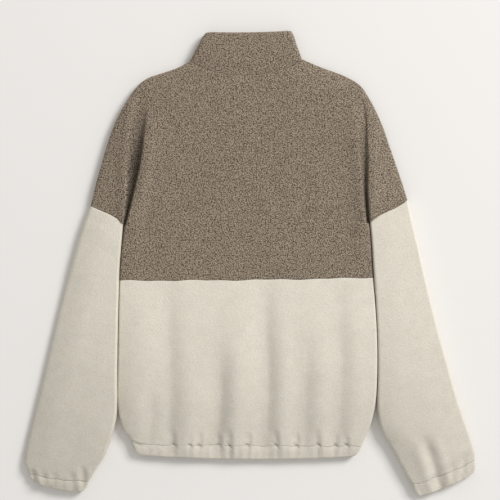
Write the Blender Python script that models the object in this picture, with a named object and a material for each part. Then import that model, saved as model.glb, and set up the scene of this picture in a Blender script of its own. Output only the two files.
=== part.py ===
"""Fleece pullover of two colours, laid flat on its front with the sleeves turned down along the body.

The garment is built as walls of cloth that rest on the surface z = 0. X runs across the garment, Y from
the hem to the collar and Z up through the layers. Sizes are in millimetres and become metres in the mesh.
"""
import bmesh
import bpy
import numpy as np

for leftover in list(bpy.data.objects):
    bpy.data.objects.remove(leftover, do_unlink=True)

MM = 0.001

# Cloth and seams
CLOTH = 5.0
COLLAR_CLOTH = 7.0
CASING_CLOTH = 6.0
SEAM_GAP = 0.3
SIDE_SEAM_HEIGHT = 9.0
EDGE_RADIUS = 10.5
EDGE_POWER = 2.5
MIDDLE = np.array([0.31, -0.25, 0.0])

# Upper body. Each row runs across the garment: its two outer ends, the two shoulder folds, the middle,
# the height of the back over the surface and the depth and half width of the shoulder folds. The armhole
# starts at the outer edge at its own row and follows the shoulder fold down to the underarm.
ARMHOLE_ROW = 4
UPPER_COLUMNS = ("left_x", "left_y", "fold_left_x", "fold_left_y", "middle_y", "fold_right_x",
                 "fold_right_y", "right_x", "right_y", "height", "fold_depth", "fold_width")
UPPER_BACK = (
    (-102, 342, -85, 332, 318, 71, 335, 88, 346, 19.0, 0.0, 10),
    (-126, 330, -109, 312, 291, 99, 315, 116, 334, 19.0, 0.0, 10),
    (-153, 321, -136, 295, 267, 128, 298, 143, 324, 18.5, 0.0, 11),
    (-173, 314, -160, 283, 247, 153, 283, 167, 314, 18.5, 0.0, 12),
    (-189, 302, -172, 271, 230, 172, 271, 187, 301, 18.5, 0.8, 13),
    (-202, 285, -180, 254, 213, 185, 256, 200, 283, 18.5, 2.4, 13),
    (-218, 259, -184, 230, 196, 190, 232, 213, 259, 18.5, 4.0, 12),
    (-232, 230, -189, 205, 179, 191, 206, 225, 232, 18.5, 5.5, 12),
    (-243, 198, -194, 176, 159, 193, 179, 235, 203, 18.5, 6.8, 11),
    (-252, 167, -200, 145, 135, 195, 150, 246, 171, 18.5, 7.8, 11),
    (-261, 135, -206, 111, 108, 197, 116, 256, 142, 18.5, 8.5, 10),
    (-270, 97, -212, 66, 70, 201, 69, 267, 107, 18.5, 8.9, 10),
)
UPPER_FRONT_NECK = (
    (-102, 342, -86, 324, 283, 72, 327, 88, 346),
    (-126, 330, -110, 305, 270, 100, 308, 116, 334),
    (-153, 321, -137, 291, 256, 129, 294, 143, 324),
    (-173, 314, -160, 281, 241, 153, 281, 167, 314),
)

# Body below the underarms: outer ends, middle of each row and height of the back. The ridge is what is
# left there of the raised cloth beside the shoulder folds.
BODY_COLUMNS = ("left_x", "left_y", "middle_y", "right_x", "right_y", "height")
UNDERARM = (
    (-213.5, 58, 61, 202.5, 61, 19.0, 3.4),
    (-216, 38, 41, 204.5, 42, 19.0, 2.4),
    (-219, 9, 11, 206.5, 13, 19.0, 1.0),
    (-221, -29, -28, 209, -24, 19.0, 0.0),
)
LOWER_BODY = (
    (-221, -29, -28, 209, -24, 19.0),
    (-222, -62, -62, 212, -61, 19.5),
    (-223, -113, -113, 215, -112, 20.0),
    (-224, -173, -173, 216, -171, 20.5),
    (-225, -224, -224, 214, -224, 21.0),
    (-222, -256, -257, 209, -256, 21.5),
    (-215, -280, -281, 202, -280, 21.5),
    (-207, -295, -297, 195, -296, 21.0),
    (-201, -307, -309, 188, -310, 20.5),
)
HEM = (
    (-201, -307, -309, 188, -310, 21.0),
    (-198, -314, -316, 186, -316, 22.0),
    (-194, -321, -324, 182, -322, 21.5),
    (-186, -325, -332, 177, -327, 19.5),
)

# Soft folds of the lower back: where each starts and ends, its depth and its half width.
FOLD_COLUMNS = ("top_x", "top_y", "bottom_x", "bottom_y", "depth", "half_width")
BACK_FOLDS = (
    (-133, 31, -138, -312, 4.0, 9.0),
    (-53, -100, -58, -312, 4.4, 8.0),
    (27, 23, 32, -312, 4.6, 8.5),
    (90, -90, 88, -312, 4.2, 8.0),
    (133, 2, 150, -312, 3.6, 9.5),
    (-167, -150, -170, -312, 2.4, 8.0),
)
HEM_PLEAT_PITCH = 13.6
HEM_PLEAT_DEPTH = 0.9
HEM_NOTCHES = (-131, -82, -54, -34, -2, 42, 92, 119, 160)
HEM_NOTCH_DEPTH = 2.0
HEM_NOTCH_WIDTH = 4.0

# Sleeves: outer and inner end of each ring, how far its middle bows towards the cuff, and its height.
SLEEVE_COLUMNS = ("outer_x", "outer_y", "inner_x", "inner_y", "bow", "height")
SLEEVE_LEFT = (
    (-270, 97, -214.5, 67, 0.0, 22.0),
    (-284, 60, -219.5, 29, 1.0, 24.0),
    (-297, 16, -223.5, -8, 1.0, 25.0),
    (-313, -45, -225.5, -62, 0.0, 26.0),
    (-330, -113, -226.8, -127, 0.0, 26.0),
    (-346, -181, -227.6, -190, 0.0, 26.0),
    (-362, -246, -227.0, -251, 0.0, 26.0),
    (-373, -290, -234, -290, 1.0, 26.0),
    (-380, -322, -246, -326, 2.0, 25.0),
    (-381, -341, -260, -348, 3.0, 23.0),
    (-373, -356, -272, -368, 4.0, 19.0),
)
SLEEVE_RIGHT = (
    (267, 107, 203.0, 70, 0.0, 22.0),
    (275, 70, 208.0, 35, 1.0, 24.0),
    (286, 23, 211.0, -5, 1.0, 25.0),
    (301, -42, 215.5, -62, 0.0, 26.0),
    (318, -110, 218.5, -127, 0.0, 26.0),
    (336, -176, 219.0, -188, 0.0, 26.0),
    (353, -236, 217.5, -239, 0.0, 26.0),
    (367, -277, 223, -280, 0.0, 26.0),
    (376, -304, 240, -311, 0.0, 25.0),
    (381, -321, 258, -345, 1.0, 23.0),
    (381, -333, 275, -375, 3.0, 19.0),
)
CUFF_LEFT = (
    (-373, -356, -272, -368, 4.0, 19.5),
    (-372, -363, -276, -377, 4.0, 21.5),
    (-368, -370, -283, -387, 5.0, 19.0),
)
CUFF_RIGHT = (
    (381, -333, 275, -375, 3.0, 19.5),
    (382, -344, 279, -385, 3.0, 21.5),
    (380, -355, 286, -395, 4.0, 19.0),
)
CUFF_PLEATS = 8
CUFF_PLEAT_DEPTH = 1.0

# Collar: outer ends of each ring, the points next to them, the middle of the back and of the front.
COLLAR_COLUMNS = ("left_x", "left_y", "near_left_x", "near_left_y", "back_y", "near_right_x",
                  "near_right_y", "right_x", "right_y", "front_near_y", "front_y", "height")
COLLAR = (
    (-102, 342, -85, 332, 318, 71, 335, 88, 346, -8, 283, 20.0),
    (-95, 356, -79, 348, 338, 66, 350, 84, 358, -5, 312, 21.5),
    (-87, 371, -72, 365, 357, 61, 366, 79, 371, -3, 344, 21.5),
    (-80, 384, -66, 380, 374, 57, 381, 75, 384, -1, 370, 21.0),
    (-74, 391.5, -60, 391.5, 391, 53, 393, 70, 394.5, 0, 390, 19.5),
)

# Columns of points across a row, as shares of the rounded edge and of the fold lip.
BACK_ARC = np.array([0.0, 0.08, 0.3, 0.62, 1.0])
FRONT_ARC = np.array([0.0, 0.14, 0.5, 1.0])
BACK_LIP = np.array([1.0, 0.58, 0.25, 0.0])
BACK_MIDDLE = 18
FRONT_MIDDLE = 8
LOWER_MIDDLE = 42
HEM_MIDDLE = 84

TAUPE = (0.227, 0.184, 0.141, 1.0)
CREAM = (0.645, 0.604, 0.509, 1.0)


def named(table, columns):
    """The table as an array, with the place of each named column."""
    return np.array(table, dtype=float), {name: place for place, name in enumerate(columns)}


def through(rows, count):
    """Smooth curve through the rows of a table, sampled at an even count of places along it."""
    last = len(rows) - 1
    slopes = np.gradient(rows, axis=0)
    places = np.linspace(0, last, count)
    low = np.minimum(places.astype(int), last - 1)
    t = (places - low)[:, None]
    a = 2 * t ** 3 - 3 * t ** 2 + 1
    b = t ** 3 - 2 * t ** 2 + t
    c = -2 * t ** 3 + 3 * t ** 2
    d = t ** 3 - t ** 2
    return a * rows[low] + b * slopes[low] + c * rows[low + 1] + d * slopes[low + 1]


def edge(share):
    """Rise of a rounded edge: nothing at the edge, full height one radius in."""
    share = np.clip(share, 0.0, 1.0)
    return (1 - (1 - share) ** EDGE_POWER) ** (1 / EDGE_POWER)


def unit(vector):
    return vector / np.linalg.norm(vector)


def line_columns(length, arc, lip, middle):
    """Distances along a line of a given length: a rounded edge, even steps, then a lip."""
    start = arc * min(EDGE_RADIUS, 0.42 * length)
    stop = length - lip * min(12.0, 0.42 * length)
    inner = np.linspace(start[-1], stop[0], middle + 2)[1:-1]
    return np.concatenate([start, inner, stop])


def body_shares(width, arc, middle):
    """Shares of the width of a row: both rounded edges and even steps between them."""
    start = arc * EDGE_RADIUS / width
    inner = np.linspace(start[-1], 1 - start[-1], middle + 2)[1:-1]
    return np.concatenate([start, inner, (1 - start)[::-1]])


def body_line(left, right, middle_y, arc, middle):
    """Row across the body between two points, bowed so that its middle passes at middle_y."""
    width = np.linalg.norm(right - left)
    share = body_shares(width, arc, middle)
    plan = left + (right - left) * share[:, None]
    plan[:, 1] += (middle_y - (left[1] + right[1]) / 2) * (1 - (2 * share - 1) ** 2)
    return plan


def shoulder_row(left, fold_left, middle_y, fold_right, right, back):
    """Plan points of a row over both shoulders and the directions in which its cloth is set in."""
    arc = BACK_ARC if back else FRONT_ARC
    lip = BACK_LIP if back else np.array([0.0])
    steps = 2 if back else 1
    middle = BACK_MIDDLE if back else FRONT_MIDDLE
    out_left = np.linalg.norm(fold_left - left)
    out_right = np.linalg.norm(fold_right - right)
    along_left = line_columns(out_left, arc, lip, steps)[:-1, None]
    along_right = line_columns(out_right, arc, lip, steps)[:-1, None]
    to_left = unit(fold_left - left)
    to_right = unit(fold_right - right)
    body = body_line(fold_left, fold_right, middle_y, arc, middle)
    plan = np.concatenate([left + to_left * along_left, body, (right + to_right * along_right)[::-1]])
    count = len(along_left)
    across = np.tile(unit(fold_right - fold_left), (len(plan), 1))
    across[:count] = to_left
    across[len(plan) - count:] = -to_right
    return plan, across, count


def along(plan):
    """Distance of each point from the left end of its row."""
    steps = np.linalg.norm(np.diff(plan, axis=0), axis=1)
    return np.concatenate([[0.0], np.cumsum(steps)])


def set_in(plan, across, heights, cloth, side):
    """Outer and inner points of a half row. Side is 1 for the back and -1 for the front."""
    place = along(plan)
    steps = np.stack([np.diff(place), np.diff(heights)], axis=1)
    steps /= np.linalg.norm(steps, axis=1)[:, None]
    slope = np.zeros((len(plan), 2))
    slope[:-1] += steps
    slope[1:] += steps
    slope /= np.linalg.norm(slope, axis=1)[:, None]
    normal = np.stack([-slope[:, 1], slope[:, 0]], axis=1) * side
    normal[0] = (-1.0, 0.0)
    normal[-1] = (1.0, 0.0)
    outer = np.column_stack([plan, heights])
    inner = outer - cloth * np.column_stack([across * normal[:, :1], normal[:, 1]])
    return outer, inner


def rounded(plan, radius=EDGE_RADIUS):
    """Share of the full height at each point of a row with two rounded ends."""
    place = along(plan)
    radius = min(radius, 0.42 * place[-1])
    return edge(place / radius) * edge((place[-1] - place) / radius)


def back_heights(plan, height, seam=SIDE_SEAM_HEIGHT + SEAM_GAP / 2):
    return seam + (height - seam) * rounded(plan)


def front_heights(plan, seam=SIDE_SEAM_HEIGHT - SEAM_GAP / 2):
    return seam * (1 - rounded(plan))


def soft_folds(plan):
    """Drop of the lower back in its soft folds, and the gentle rise on both sides of each."""
    folds, at = named(BACK_FOLDS, FOLD_COLUMNS)
    drop = np.zeros(len(plan))
    for fold in folds:
        share = (fold[at["top_y"]] - plan[:, 1]) / (fold[at["top_y"]] - fold[at["bottom_y"]])
        centre = fold[at["top_x"]] + (fold[at["bottom_x"]] - fold[at["top_x"]]) * np.clip(share, 0, 1)
        fade = np.clip(share * 1.8, 0, 1)
        fade = fade * fade * (3 - 2 * fade)
        away = (plan[:, 0] - centre) / fold[at["half_width"]]
        drop += fold[at["depth"]] * fade * (np.exp(-away ** 2) - 0.45 * np.exp(-(np.abs(away) - 2.1) ** 2))
    place = along(plan)
    return drop * edge(place / 25) * edge((place[-1] - place) / 25)


def wall(name, outer, inner, cells, colour):
    """Closed wall of cloth between two grids of points, where the cells of the grid are kept."""
    rows, columns = outer.shape[:2]
    count = rows * columns
    number = np.arange(count).reshape(rows, columns)
    faces = []
    edges = {}
    for row in range(rows - 1):
        for column in range(columns - 1):
            if not cells[row, column]:
                continue
            ring = (number[row, column], number[row + 1, column],
                    number[row + 1, column + 1], number[row, column + 1])
            faces.append(ring)
            faces.append(tuple(corner + count for corner in reversed(ring)))
            for a, b in zip(ring, ring[1:] + ring[:1]):
                edges[(a, b)] = edges.get((a, b), 0) + 1
    for a, b in edges:
        if (b, a) not in edges:
            faces.append((b, a, a + count, b + count))
    points = np.concatenate([outer.reshape(-1, 3), inner.reshape(-1, 3)])
    return solid(name, points, faces, colour)


def tube(name, outer, inner, colour):
    """Closed wall of cloth between two stacks of rings that run round a tube."""
    rows, columns = outer.shape[:2]
    count = rows * columns
    faces = []
    for column in range(columns):
        after = (column + 1) % columns
        for row in range(rows - 1):
            ring = (row * columns + column, (row + 1) * columns + column,
                    (row + 1) * columns + after, row * columns + after)
            faces.append(ring)
            faces.append(tuple(corner + count for corner in reversed(ring)))
        last = (rows - 1) * columns
        faces.append((after, after + count, column + count, column))
        faces.append((last + column, last + column + count, last + after + count, last + after))
    points = np.concatenate([outer.reshape(-1, 3), inner.reshape(-1, 3)])
    return solid(name, points, faces, colour)


def solid(name, points, faces, colour):
    """Mesh object from points in millimetres, with its normals outward and its own material."""
    used = sorted({int(corner) for face in faces for corner in face})
    place = {corner: number for number, corner in enumerate(used)}
    mesh = bpy.data.meshes.new(name)
    mesh.from_pydata([tuple((points[corner] - MIDDLE) * MM) for corner in used], [],
                     [[place[int(corner)] for corner in face] for face in faces])
    shape = bmesh.new()
    shape.from_mesh(mesh)
    bmesh.ops.recalc_face_normals(shape, faces=shape.faces)
    if shape.calc_volume(signed=True) < 0:
        bmesh.ops.reverse_faces(shape, faces=shape.faces)
    shape.to_mesh(mesh)
    shape.free()
    material = bpy.data.materials.new(name)
    material.use_nodes = True
    shader = material.node_tree.nodes["Principled BSDF"]
    shader.inputs["Base Color"].default_value = colour
    shader.inputs["Roughness"].default_value = 0.95
    mesh.materials.append(material)
    piece = bpy.data.objects.new(name, mesh)
    bpy.context.scene.collection.objects.link(piece)
    return piece


# Upper body, from the neck over the shoulders to the seam between the colours
def upper_panel(back):
    """Rows of the upper back or the upper front with both drop shoulders, the cells of the body panel, and the
    count of points between an outer end and the shoulder fold."""
    table, at = named(UPPER_BACK, UPPER_COLUMNS)
    source = table.copy()
    if not back:
        source[:len(UPPER_FRONT_NECK), :9] = np.array(UPPER_FRONT_NECK)
    outer_rows = []
    inner_rows = []
    for guide, row in zip(table, source):
        left = row[0:2]
        fold_left = row[2:4]
        fold_right = row[5:7]
        right = row[7:9]
        plan, across, caps = shoulder_row(left, fold_left, row[at["middle_y"]], fold_right, right, back)
        across[:caps] = unit(guide[2:4] - guide[0:2])
        across[len(plan) - caps:] = -unit(guide[5:7] - guide[7:9])
        if back:
            heights = back_heights(plan, guide[at["height"]])
            place = along(plan)
            for fold in (caps, len(plan) - 1 - caps):
                away = np.abs(place - place[fold])
                ridge = 0.42 * np.exp(-((away - 15) / 15) ** 2)
                valley = (1 - np.clip(away / guide[at["fold_width"]], 0, 1)) ** 1.5
                heights += guide[at["fold_depth"]] * (ridge * rounded(plan) - valley)
            heights -= soft_folds(plan)
        else:
            heights = front_heights(plan)
        outer, inner = set_in(plan, across, heights, CLOTH, 1 if back else -1)
        outer_rows.append(outer)
        inner_rows.append(inner)
    width = len(outer_rows[0])
    body, at = named(UNDERARM, BODY_COLUMNS + ("ridge",))
    for row in through(body, 5 if back else 3):
        outer, inner = body_half(row, at, back, BACK_MIDDLE if back else FRONT_MIDDLE)
        pad = np.repeat(outer[:1], caps, axis=0)
        pad_right = np.repeat(outer[-1:], caps, axis=0)
        outer_rows.append(np.concatenate([pad, outer, pad_right]))
        inner_rows.append(np.concatenate([pad, inner, pad_right]))
    outer = np.array(outer_rows)
    inner = np.array(inner_rows)
    outer[-1, :, 1] += SEAM_GAP / 2
    inner[-1, :, 1] += SEAM_GAP / 2
    cells = np.ones((len(outer) - 1, width - 1), dtype=bool)
    cells[ARMHOLE_ROW:, :caps] = False
    cells[ARMHOLE_ROW:, width - 1 - caps:] = False
    return outer, inner, cells, caps


def body_half(row, at, back, middle):
    """Outer and inner points of one row across the body below the underarms."""
    left = np.array([row[at["left_x"]], row[at["left_y"]]])
    right = np.array([row[at["right_x"]], row[at["right_y"]]])
    plan = body_line(left, right, row[at["middle_y"]], BACK_ARC if back else FRONT_ARC, middle)
    across = np.tile((1.0, 0.0), (len(plan), 1))
    if back:
        heights = back_heights(plan, row[at["height"]]) - soft_folds(plan)
        if "ridge" in at:
            place = along(plan)
            nearest = np.minimum(place, place[-1] - place)
            heights += row[at["ridge"]] * rounded(plan) * np.exp(-((nearest - 15) / 15) ** 2)
    else:
        heights = front_heights(plan)
    return set_in(plan, across, heights, CLOTH, 1 if back else -1)


def drop_shoulder(back_grid, front_grid, back_caps, front_caps):
    """Points of one drop shoulder, from the shoulder fold over the outer edge to the fold underneath, kept apart
    from the body by the seam gap along the fold and across the top of the armhole."""
    rows = slice(ARMHOLE_ROW, len(UPPER_BACK))
    strip = np.concatenate([back_grid[rows, back_caps::-1], front_grid[rows, 1:front_caps + 1]], axis=1)
    for seam, beside in ((0, back_caps), (-1, back_caps)):
        away = strip[:, beside] - strip[:, seam]
        away[:, 2] = 0.0
        strip[:, seam] += SEAM_GAP * away / np.linalg.norm(away, axis=1)[:, None]
    down = strip[1] - strip[0]
    strip[0] += SEAM_GAP * down / np.linalg.norm(down, axis=1)[:, None]
    return strip


panels = {}
for node, back in (("back_upper", True), ("front_upper", False)):
    panels[node] = upper_panel(back)
    outer, inner, cells, caps = panels[node]
    wall(node, outer, inner, cells, TAUPE)


# Drop shoulders, sewn into the armholes and wrapped round the outer edge from back to front
for node, step in (("shoulder_left", 1), ("shoulder_right", -1)):
    back_caps = panels["back_upper"][3]
    front_caps = panels["front_upper"][3]
    outer, inner = [drop_shoulder(panels["back_upper"][face][:, ::step], panels["front_upper"][face][:, ::step],
                                  back_caps, front_caps) for face in (0, 1)]
    wall(node, outer, inner, np.ones((len(outer) - 1, outer.shape[1] - 1), dtype=bool), TAUPE)


# Lower body, from the seam between the colours to the casing
for node, back in (("back_lower", True), ("front_lower", False)):
    body, at = named(LOWER_BODY, BODY_COLUMNS)
    halves = [body_half(row, at, back, LOWER_MIDDLE if back else FRONT_MIDDLE + 4)
              for row in through(body, 10 if back else 6)]
    outer = np.array([half[0] for half in halves])
    inner = np.array([half[1] for half in halves])
    for grid in (outer, inner):
        grid[0, :, 1] -= SEAM_GAP / 2
        grid[-1, :, 1] += SEAM_GAP / 2
    wall(node, outer, inner, np.ones((len(outer) - 1, outer.shape[1] - 1), dtype=bool), CREAM)


# Casing round the hem, gathered into pleats by its elastic
def hem_ring(row, at, share):
    left = np.array([row[at["left_x"]], row[at["left_y"]]])
    right = np.array([row[at["right_x"]], row[at["right_y"]]])
    back_plan = body_line(left, right, row[at["middle_y"]], BACK_ARC, HEM_MIDDLE)
    front_plan = body_line(left, right, row[at["middle_y"]], FRONT_ARC, FRONT_MIDDLE + 4)
    inside = rounded(back_plan, 22.0)
    pleats = HEM_PLEAT_DEPTH * np.cos(2 * np.pi * back_plan[:, 0] / HEM_PLEAT_PITCH)
    for notch in HEM_NOTCHES:
        away = (back_plan[:, 0] - notch) / HEM_NOTCH_WIDTH
        pleats = pleats - HEM_NOTCH_DEPTH * (1 - 0.6 * share) * np.exp(-away ** 2)
    back_z = back_heights(back_plan, row[at["height"]], SIDE_SEAM_HEIGHT) + pleats * inside
    front_z = front_heights(front_plan, SIDE_SEAM_HEIGHT)
    return ring(back_plan, back_z, front_plan, front_z, CASING_CLOTH)


def ring(back_plan, back_z, front_plan, front_z, cloth, across_back=None, across_front=None):
    """Ring of outer and inner points from the back half and the front half of a tube."""
    chord = unit(back_plan[-1] - back_plan[0])
    if across_back is None:
        across_back = np.tile(chord, (len(back_plan), 1))
        across_front = np.tile(chord, (len(front_plan), 1))
    outer, inner = set_in(back_plan, across_back, back_z, cloth, 1)
    under, inside = set_in(front_plan, across_front, front_z, cloth, -1)
    return (np.concatenate([outer, under[-2:0:-1]]), np.concatenate([inner, inside[-2:0:-1]]))


hem, at = named(HEM, BODY_COLUMNS)
rings = [hem_ring(row, at, number / 3) for number, row in enumerate(through(hem, 4))]
outer = np.array([pair[0] for pair in rings])
inner = np.array([pair[1] for pair in rings])
outer[0, :, 1] -= SEAM_GAP / 2
inner[0, :, 1] -= SEAM_GAP / 2
tube("hem_band", outer, inner, CREAM)


# Sleeves and cuffs, tubes that rest on the surface beside the body
def sleeve_ring(row, at, flip, cloth, pleats=0.0):
    outer_end = np.array([row[at["outer_x"]], row[at["outer_y"]]])
    inner_end = np.array([row[at["inner_x"]], row[at["inner_y"]]])
    left, right = (inner_end, outer_end) if flip else (outer_end, inner_end)
    width = np.linalg.norm(right - left)
    towards = np.array([(right - left)[1], -(right - left)[0]]) / width
    plans = []
    for arc, middle in ((BACK_ARC, 10 if pleats == 0 else 36), (FRONT_ARC, 4)):
        share = body_shares(width, arc, middle)
        bowed = row[at["bow"]] * (1 - (2 * share - 1) ** 2)
        plans.append(left + (right - left) * share[:, None] + towards * bowed[:, None])
    crown = 0.86 + 0.14 * rounded(plans[0], 45.0)
    back_z = back_heights(plans[0], row[at["height"]], SIDE_SEAM_HEIGHT)
    back_z = SIDE_SEAM_HEIGHT + (back_z - SIDE_SEAM_HEIGHT) * crown
    place = along(plans[0]) / width
    back_z += pleats * np.cos(2 * np.pi * CUFF_PLEATS * place) * rounded(plans[0], 18.0)
    front_z = front_heights(plans[1], SIDE_SEAM_HEIGHT)
    return ring(plans[0], back_z, plans[1], front_z, cloth)


for node, table, flip, count in (("sleeve_left", SLEEVE_LEFT, False, 14),
                                 ("sleeve_right", SLEEVE_RIGHT, True, 14),
                                 ("cuff_left", CUFF_LEFT, False, 3),
                                 ("cuff_right", CUFF_RIGHT, True, 3)):
    stations, at = named(table, SLEEVE_COLUMNS)
    is_cuff = node.startswith("cuff")
    rings = [sleeve_ring(row, at, flip, CASING_CLOTH if is_cuff else CLOTH, CUFF_PLEAT_DEPTH * is_cuff)
             for row in through(stations, count)]
    outer = np.array([pair[0] for pair in rings])
    inner = np.array([pair[1] for pair in rings])
    chord = unit((stations[0, 2:4] - stations[0, 0:2]) * (-1 if flip else 1))
    down = np.array([chord[1], -chord[0], 0.0])
    shift = SEAM_GAP / 2 if is_cuff else SEAM_GAP
    outer[0] += down * shift
    inner[0] += down * shift
    if not is_cuff:
        chord = unit((stations[-1, 2:4] - stations[-1, 0:2]) * (-1 if flip else 1))
        down = np.array([chord[1], -chord[0], 0.0])
        outer[-1] -= down * SEAM_GAP / 2
        inner[-1] -= down * SEAM_GAP / 2
    tube(node, outer, inner, CREAM)


# Stand collar of doubled cloth, a tube that lies flat above the neck seam
collar, at = named(COLLAR, COLLAR_COLUMNS)
rings = []
for row in through(collar, 5):
    left = row[0:2]
    near_left = row[2:4]
    near_right = row[5:7]
    right = row[7:9]
    back_plan, back_across, caps = shoulder_row(left, near_left, row[at["back_y"]], near_right, right, True)
    lower = np.array([0.0, row[at["front_near_y"]]])
    front_plan, front_across, front_caps = shoulder_row(left, near_left + lower, row[at["front_y"]],
                                                        near_right + lower, right, False)
    front_across[:front_caps] = back_across[0]
    front_across[len(front_across) - front_caps:] = back_across[-1]
    back_z = back_heights(back_plan, row[at["height"]], SIDE_SEAM_HEIGHT)
    front_z = front_heights(front_plan, SIDE_SEAM_HEIGHT)
    rings.append(ring(back_plan, back_z, front_plan, front_z, COLLAR_CLOTH, back_across, front_across))
outer = np.array([pair[0] for pair in rings])
inner = np.array([pair[1] for pair in rings])
outer[0, :, 1] += 2 * SEAM_GAP
inner[0, :, 1] += 2 * SEAM_GAP
tube("collar", outer, inner, TAUPE)
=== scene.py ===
"""Fleece pullover of two colours, laid flat on its front with the sleeves turned down along the body.

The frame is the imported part's own: X across the garment, Y from the hem to the collar, Z up from the
surface that it lies on. Shapes are worked out in millimetres and become metres in the meshes.
"""

import bpy
import numpy as np
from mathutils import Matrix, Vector


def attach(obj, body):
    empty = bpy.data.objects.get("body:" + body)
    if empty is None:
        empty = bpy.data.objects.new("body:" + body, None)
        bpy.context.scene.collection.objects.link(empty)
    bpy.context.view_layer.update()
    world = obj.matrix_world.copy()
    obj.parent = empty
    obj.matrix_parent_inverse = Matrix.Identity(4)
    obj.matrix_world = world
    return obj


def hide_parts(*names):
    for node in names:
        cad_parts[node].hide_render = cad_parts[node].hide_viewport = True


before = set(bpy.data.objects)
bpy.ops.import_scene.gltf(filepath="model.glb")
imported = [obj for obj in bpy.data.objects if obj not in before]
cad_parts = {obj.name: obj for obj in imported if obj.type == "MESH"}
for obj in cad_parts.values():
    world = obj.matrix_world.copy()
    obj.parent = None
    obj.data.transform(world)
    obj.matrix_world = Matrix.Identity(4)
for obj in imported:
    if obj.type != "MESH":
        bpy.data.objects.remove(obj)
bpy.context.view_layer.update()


# Upper back: one taupe panel of teddy fleece, sewn to the collar, the lower back, the upper front and the
# two drop shoulders. The sleeves are turned down, so a deep fold runs down the armhole to the underarm and
# hides its seam.
MM = 0.001
# Middle of the laid garment's box in the millimetres of the tables below.
MIDDLE = np.array([0.31, -0.25, 0.0])
CLOTH = 5.0
TAUPE_PILE = 0.6
SEAM_GAP = 0.02
SEAM_HEIGHT = 9.0
EDGE_RADIUS = 8.0
SIDE_RADIUS = 3.5
TUFT_SIZE = 3.3
INNER_STEP = 4
CAP_CELLS = 40
BODY_CELLS = 272
ABOVE_ARMHOLE = 32
BESIDE_ARMHOLE = 156
BELOW_ARMHOLE = 68
ARMHOLE_STATION = 4
BODY_WAVES = 55
WAVE_HEIGHT = 0.8
ROLL_WIDTH = 4.0
FLOOR_CLEARANCE = 0.05

UPPER_COLUMNS = ("left_x", "left_y", "fold_left_x", "fold_left_y", "middle_y", "fold_right_x",
                 "fold_right_y", "right_x", "right_y", "height")
UPPER_BACK = (
    (-102, 342, -85, 332, 318, 71, 335, 88, 346, 19.0),
    (-126, 330, -109, 312, 291, 99, 315, 116, 334, 19.0),
    (-153, 321, -136, 295, 267, 128, 298, 143, 324, 19.0),
    (-173, 314, -160, 283, 247, 153, 283, 167, 314, 19.0),
    (-189, 302, -172, 271, 230, 172, 271, 187, 301, 19.0),
    (-202, 285, -180, 254, 213, 185, 256, 200, 283, 19.0),
    (-218, 259, -184, 230, 196, 190, 232, 213, 259, 19.0),
    (-232, 230, -189, 205, 179, 191, 206, 225, 232, 19.0),
    (-243, 198, -194, 176, 159, 193, 179, 235, 203, 19.0),
    (-252, 167, -200, 145, 135, 195, 150, 246, 171, 19.0),
    (-261, 135, -206, 111, 108, 197, 116, 256, 142, 19.0),
    (-270, 97, -212, 66, 70, 201, 69, 267, 107, 19.0),
)
UPPER_ENDS = ([0, 1], [7, 8])
FOLD_SHAPE = ("left_depth", "left_shift", "left_slope", "left_cliff",
              "right_depth", "right_shift", "right_slope", "right_cliff")
SHOULDER_FOLDS = (
    (0.0, 0.0, 20, 12, 0.0, 0.0, 16, 12),
    (0.0, 0.0, 20, 12, 0.0, 0.0, 16, 12),
    (0.0, 0.0, 22, 12, 0.0, 2.0, 16, 12),
    (0.2, -4.0, 24, 12, 0.0, 6.0, 18, 12),
    (1.4, -2.0, 26, 12, 0.6, 10.0, 18, 12),
    (3.4, 1.0, 26, 7, 1.8, 12.0, 18, 9),
    (6.0, 4.0, 27, 4, 3.4, 8.0, 17, 6),
    (8.2, 7.0, 26, 3, 5.0, 7.0, 16, 4),
    (9.6, 8.0, 24, 3, 6.6, 5.0, 14, 4),
    (10.2, 7.0, 18, 4, 8.0, 3.0, 11, 3),
    (10.2, 4.5, 9, 5, 8.8, 1.0, 8, 3),
    (10.0, 1.0, 4, 3, 9.2, 0.0, 6, 3),
)
BODY_COLUMNS = ("left_x", "left_y", "middle_y", "right_x", "right_y", "height", "ridge", "left_crown",
                "right_crown")
BODY_ENDS = ([0, 1], [3, 4])
UNDERARM = (
    (-212, 66, 70, 201, 69, 19.0, 5.6, 0.0, 0.0),
    (-213.5, 58, 61, 202.5, 61, 19.0, 5.0, 0.0, 0.0),
    (-216, 38, 41, 204.5, 42, 19.0, 3.2, 0.0, 0.0),
    (-219, 9, 11, 206.5, 13, 19.5, 1.2, 0.05, 0.03),
    (-221, -29, -28, 209, -24, 20.0, 0.0, 0.12, 0.05),
)
HEM_NOTCHES = (-128, -101, -86, -53, -34, -5, 44, 78, 116, 145, 163)
# A fold's top and foot in X and Y, its depth and its half width.
BACK_FOLDS = (
    (-137, 31, -139, -330, 4.2, 15.5),
    (-49, -106, -58, -330, 7.2, 14.5),
    (26, 23, 28, -330, 6.6, 14.5),
    (93, -86, 92, -330, 4.6, 15.5),
    (151, 12, 150, -330, 3.4, 13.5),
    (-168, -170, -172, -330, 2.4, 10.0),
    (-131, -276, -128, -309, 1.8, 4.5),
    (-99, -284, -101, -309, 1.2, 3.5),
    (-83, -280, -86, -309, 2.0, 4.0),
    (-54, -284, -53, -309, 1.6, 3.5),
    (-36, -276, -34, -309, 2.2, 4.5),
    (-3, -282, -5, -309, 2.0, 4.0),
    (42, -274, 44, -309, 2.0, 4.5),
    (80, -284, 78, -309, 1.6, 3.5),
    (114, -278, 116, -309, 2.0, 4.5),
    (146, -282, 145, -309, 1.6, 4.0),
    (160, -286, 163, -309, 1.4, 3.5),
)


def named(table, columns):
    """The table as an array, with a dictionary from each column's name to its place."""
    return np.array(table, dtype=float), {name: place for place, name in enumerate(columns)}


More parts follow.
